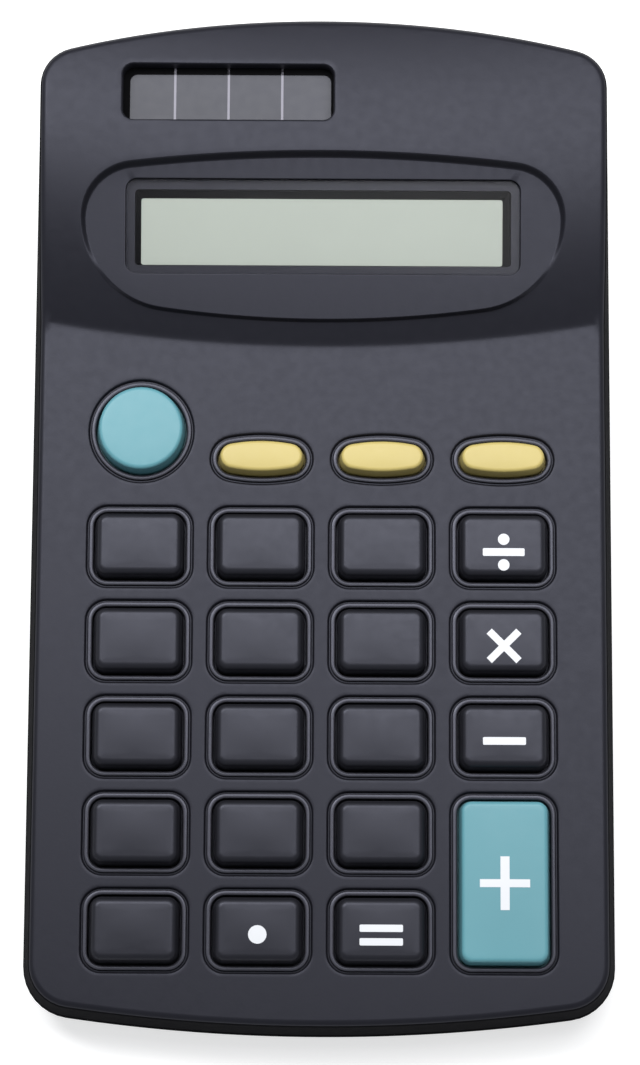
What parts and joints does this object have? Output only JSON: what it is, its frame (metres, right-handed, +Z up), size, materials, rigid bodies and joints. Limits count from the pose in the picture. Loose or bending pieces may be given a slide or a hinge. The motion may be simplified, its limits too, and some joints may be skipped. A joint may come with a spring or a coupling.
{
  "type": "desk calculator",
  "caption": "Handheld desk calculator with a raised tilted display, solar window, sprung key caps, battery bay with sliding door and rubber feet.",
  "frame": {"origin": "centre of the object's footprint on the resting plane under the rubber feet", "axes": "+Z up, +Y from the front edge towards the display end, +X to the right when facing the display"},
  "size_m": [0.069, 0.121, 0.0223],
  "materials": {
    "case_charcoal": "fine satin moulded texture",
    "case_black": "fine satin moulded texture",
    "foot_rubber": "matt",
    "clear_acrylic": "polished clear acrylic",
    "polarizer_film": "grey-green film",
    "display_glass": "polished",
    "reflector_film": "satin silver film",
    "holder_plastic": "natural ABS",
    "screw_steel": "zinc plated",
    "screw_dark": "black zinc",
    "ribbon_film": "heat-seal film",
    "solar_silicon": "amorphous silicon on glass",
    "gasket_foam": "closed-cell foam",
    "red_insulation": "PVC wire insulation",
    "board_laminate": "solder mask",
    "chip_epoxy": "epoxy blob",
    "capacitor_sleeve": "shrink sleeve",
    "chip_ceramic": "ceramic chips",
    "mat_silicone": "silicone rubber",
    "cell_jacket": "printed-free metal jacket",
    "contact_nickel": "nickel plated spring steel",
    "key_charcoal": "satin gloss",
    "key_teal": "satin gloss",
    "key_yellow": "satin gloss"
  },
  "bodies": {
    "case": {"top_case": "case_charcoal", "bottom_case": "case_black", "rubber_feet": "foot_rubber", "display_lens": "clear_acrylic", "lcd_polarizer": "polarizer_film", "lcd_front_glass": "display_glass", "lcd_rear_glass": "display_glass", "lcd_reflector": "reflector_film", "lcd_holder": "holder_plastic", "lcd_screws": "screw_steel", "lcd_ribbon": "ribbon_film", "solar_cell": "solar_silicon", "solar_gasket": "gasket_foam", "solar_leads": "red_insulation", "main_pcb": "board_laminate", "controller_chip": "chip_epoxy", "capacitor": "capacitor_sleeve", "chip_components": "chip_ceramic", "keypad_mat": "mat_silicone", "pcb_screws": "screw_steel", "case_screws": "screw_dark", "aaa_cell": "cell_jacket", "battery_spring": "contact_nickel", "battery_plus_plate": "contact_nickel", "battery_minus_plate": "contact_nickel", "battery_leads": "red_insulation"},
    "battery_door": {"battery_door": "case_black"},
    "key_on_clear": {"key_on_clear": "key_teal"},
    "key_memory_recall": {"key_memory_recall": "key_yellow"},
    "key_memory_minus": {"key_memory_minus": "key_yellow"},
    "key_memory_plus": {"key_memory_plus": "key_yellow"},
    "key_sign": {"key_sign": "key_charcoal"},
    "key_root": {"key_root": "key_charcoal"},
    "key_percent": {"key_percent": "key_charcoal"},
    "key_divide": {"key_divide": "key_charcoal"},
    "key_7": {"key_7": "key_charcoal"},
    "key_8": {"key_8": "key_charcoal"},
    "key_9": {"key_9": "key_charcoal"},
    "key_multiply": {"key_multiply": "key_charcoal"},
    "key_4": {"key_4": "key_charcoal"},
    "key_5": {"key_5": "key_charcoal"},
    "key_6": {"key_6": "key_charcoal"},
    "key_subtract": {"key_subtract": "key_charcoal"},
    "key_1": {"key_1": "key_charcoal"},
    "key_2": {"key_2": "key_charcoal"},
    "key_3": {"key_3": "key_charcoal"},
    "key_0": {"key_0": "key_charcoal"},
    "key_decimal_point": {"key_decimal_point": "key_charcoal"},
    "key_equals": {"key_equals": "key_charcoal"},
    "key_add": {"key_add": "key_teal"}
  },
  "joints": [
    {"name": "press_on_clear", "type": "slide", "parent": "case", "child": "key_on_clear", "axis": [0, 0.0523, -0.9986], "range_m": [0, 0.0009], "stiffness_N_per_m": 600, "springref_m": -0.0002, "deforming": ["keypad_mat"]},
    {"name": "press_memory_recall", "type": "slide", "parent": "case", "child": "key_memory_recall", "axis": [0, 0.0523, -0.9986], "range_m": [0, 0.0009], "stiffness_N_per_m": 600, "springref_m": -0.0002, "deforming": ["keypad_mat"]},
    {"name": "press_memory_minus", "type": "slide", "parent": "case", "child": "key_memory_minus", "axis": [0, 0.0523, -0.9986], "range_m": [0, 0.0009], "stiffness_N_per_m": 600, "springref_m": -0.0002, "deforming": ["keypad_mat"]},
    {"name": "press_memory_plus", "type": "slide", "parent": "case", "child": "key_memory_plus", "axis": [0, 0.0523, -0.9986], "range_m": [0, 0.0009], "stiffness_N_per_m": 600, "springref_m": -0.0002, "deforming": ["keypad_mat"]},
    {"name": "press_sign", "type": "slide", "parent": "case", "child": "key_sign", "axis": [0, 0.0523, -0.9986], "range_m": [0, 0.0009], "stiffness_N_per_m": 600, "springref_m": -0.0002, "deforming": ["keypad_mat"]},
    {"name": "press_root", "type": "slide", "parent": "case", "child": "key_root", "axis": [0, 0.0523, -0.9986], "range_m": [0, 0.0009], "stiffness_N_per_m": 600, "springref_m": -0.0002, "deforming": ["keypad_mat"]},
    {"name": "press_percent", "type": "slide", "parent": "case", "child": "key_percent", "axis": [0, 0.0523, -0.9986], "range_m": [0, 0.0009], "stiffness_N_per_m": 600, "springref_m": -0.0002, "deforming": ["keypad_mat"]},
    {"name": "press_divide", "type": "slide", "parent": "case", "child": "key_divide", "axis": [0, 0.0523, -0.9986], "range_m": [0, 0.0009], "stiffness_N_per_m": 600, "springref_m": -0.0002, "deforming": ["keypad_mat"]},
    {"name": "press_7", "type": "slide", "parent": "case", "child": "key_7", "axis": [0, 0.0523, -0.9986], "range_m": [0, 0.0009], "stiffness_N_per_m": 600, "springref_m": -0.0002, "deforming": ["keypad_mat"]},
    {"name": "press_8", "type": "slide", "parent": "case", "child": "key_8", "axis": [0, 0.0523, -0.9986], "range_m": [0, 0.0009], "stiffness_N_per_m": 600, "springref_m": -0.0002, "deforming": ["keypad_mat"]},
    {"name": "press_9", "type": "slide", "parent": "case", "child": "key_9", "axis": [0, 0.0523, -0.9986], "range_m": [0, 0.0009], "stiffness_N_per_m": 600, "springref_m": -0.0002, "deforming": ["keypad_mat"]},
    {"name": "press_multiply", "type": "slide", "parent": "case", "child": "key_multiply", "axis": [0, 0.0523, -0.9986], "range_m": [0, 0.0009], "stiffness_N_per_m": 600, "springref_m": -0.0002, "deforming": ["keypad_mat"]},
    {"name": "press_4", "type": "slide", "parent": "case", "child": "key_4", "axis": [0, 0.0523, -0.9986], "range_m": [0, 0.0009], "stiffness_N_per_m": 600, "springref_m": -0.0002, "deforming": ["keypad_mat"]},
    {"name": "press_5", "type": "slide", "parent": "case", "child": "key_5", "axis": [0, 0.0523, -0.9986], "range_m": [0, 0.0009], "stiffness_N_per_m": 600, "springref_m": -0.0002, "deforming": ["keypad_mat"]},
    {"name": "press_6", "type": "slide", "parent": "case", "child": "key_6", "axis": [0, 0.0523, -0.9986], "range_m": [0, 0.0009], "stiffness_N_per_m": 600, "springref_m": -0.0002, "deforming": ["keypad_mat"]},
    {"name": "press_subtract", "type": "slide", "parent": "case", "child": "key_subtract", "axis": [0, 0.0523, -0.9986], "range_m": [0, 0.0009], "stiffness_N_per_m": 600, "springref_m": -0.0002, "deforming": ["keypad_mat"]},
    {"name": "press_1", "type": "slide", "parent": "case", "child": "key_1", "axis": [0, 0.0523, -0.9986], "range_m": [0, 0.0009], "stiffness_N_per_m": 600, "springref_m": -0.0002, "deforming": ["keypad_mat"]},
    {"name": "press_2", "type": "slide", "parent": "case", "child": "key_2", "axis": [0, 0.0523, -0.9986], "range_m": [0, 0.0009], "stiffness_N_per_m": 600, "springref_m": -0.0002, "deforming": ["keypad_mat"]},
    {"name": "press_3", "type": "slide", "parent": "case", "child": "key_3", "axis": [0, 0.0523, -0.9986], "range_m": [0, 0.0009], "stiffness_N_per_m": 600, "springref_m": -0.0002, "deforming": ["keypad_mat"]},
    {"name": "press_0", "type": "slide", "parent": "case", "child": "key_0", "axis": [0, 0.0523, -0.9986], "range_m": [0, 0.0009], "stiffness_N_per_m": 600, "springref_m": -0.0002, "deforming": ["keypad_mat"]},
    {"name": "press_decimal_point", "type": "slide", "parent": "case", "child": "key_decimal_point", "axis": [0, 0.0523, -0.9986], "range_m": [0, 0.0009], "stiffness_N_per_m": 600, "springref_m": -0.0002, "deforming": ["keypad_mat"]},
    {"name": "press_equals", "type": "slide", "parent": "case", "child": "key_equals", "axis": [0, 0.0523, -0.9986], "range_m": [0, 0.0009], "stiffness_N_per_m": 600, "springref_m": -0.0002, "deforming": ["keypad_mat"]},
    {"name": "press_add", "type": "slide", "parent": "case", "child": "key_add", "axis": [0, 0.0523, -0.9986], "range_m": [0, 0.0009], "stiffness_N_per_m": 600, "springref_m": -0.0002, "deforming": ["keypad_mat"]},
    {"name": "battery_door_slide", "type": "slide", "parent": "case", "child": "battery_door", "axis": [0, 1, 0], "range_m": [0, 0.018]}
  ]
}
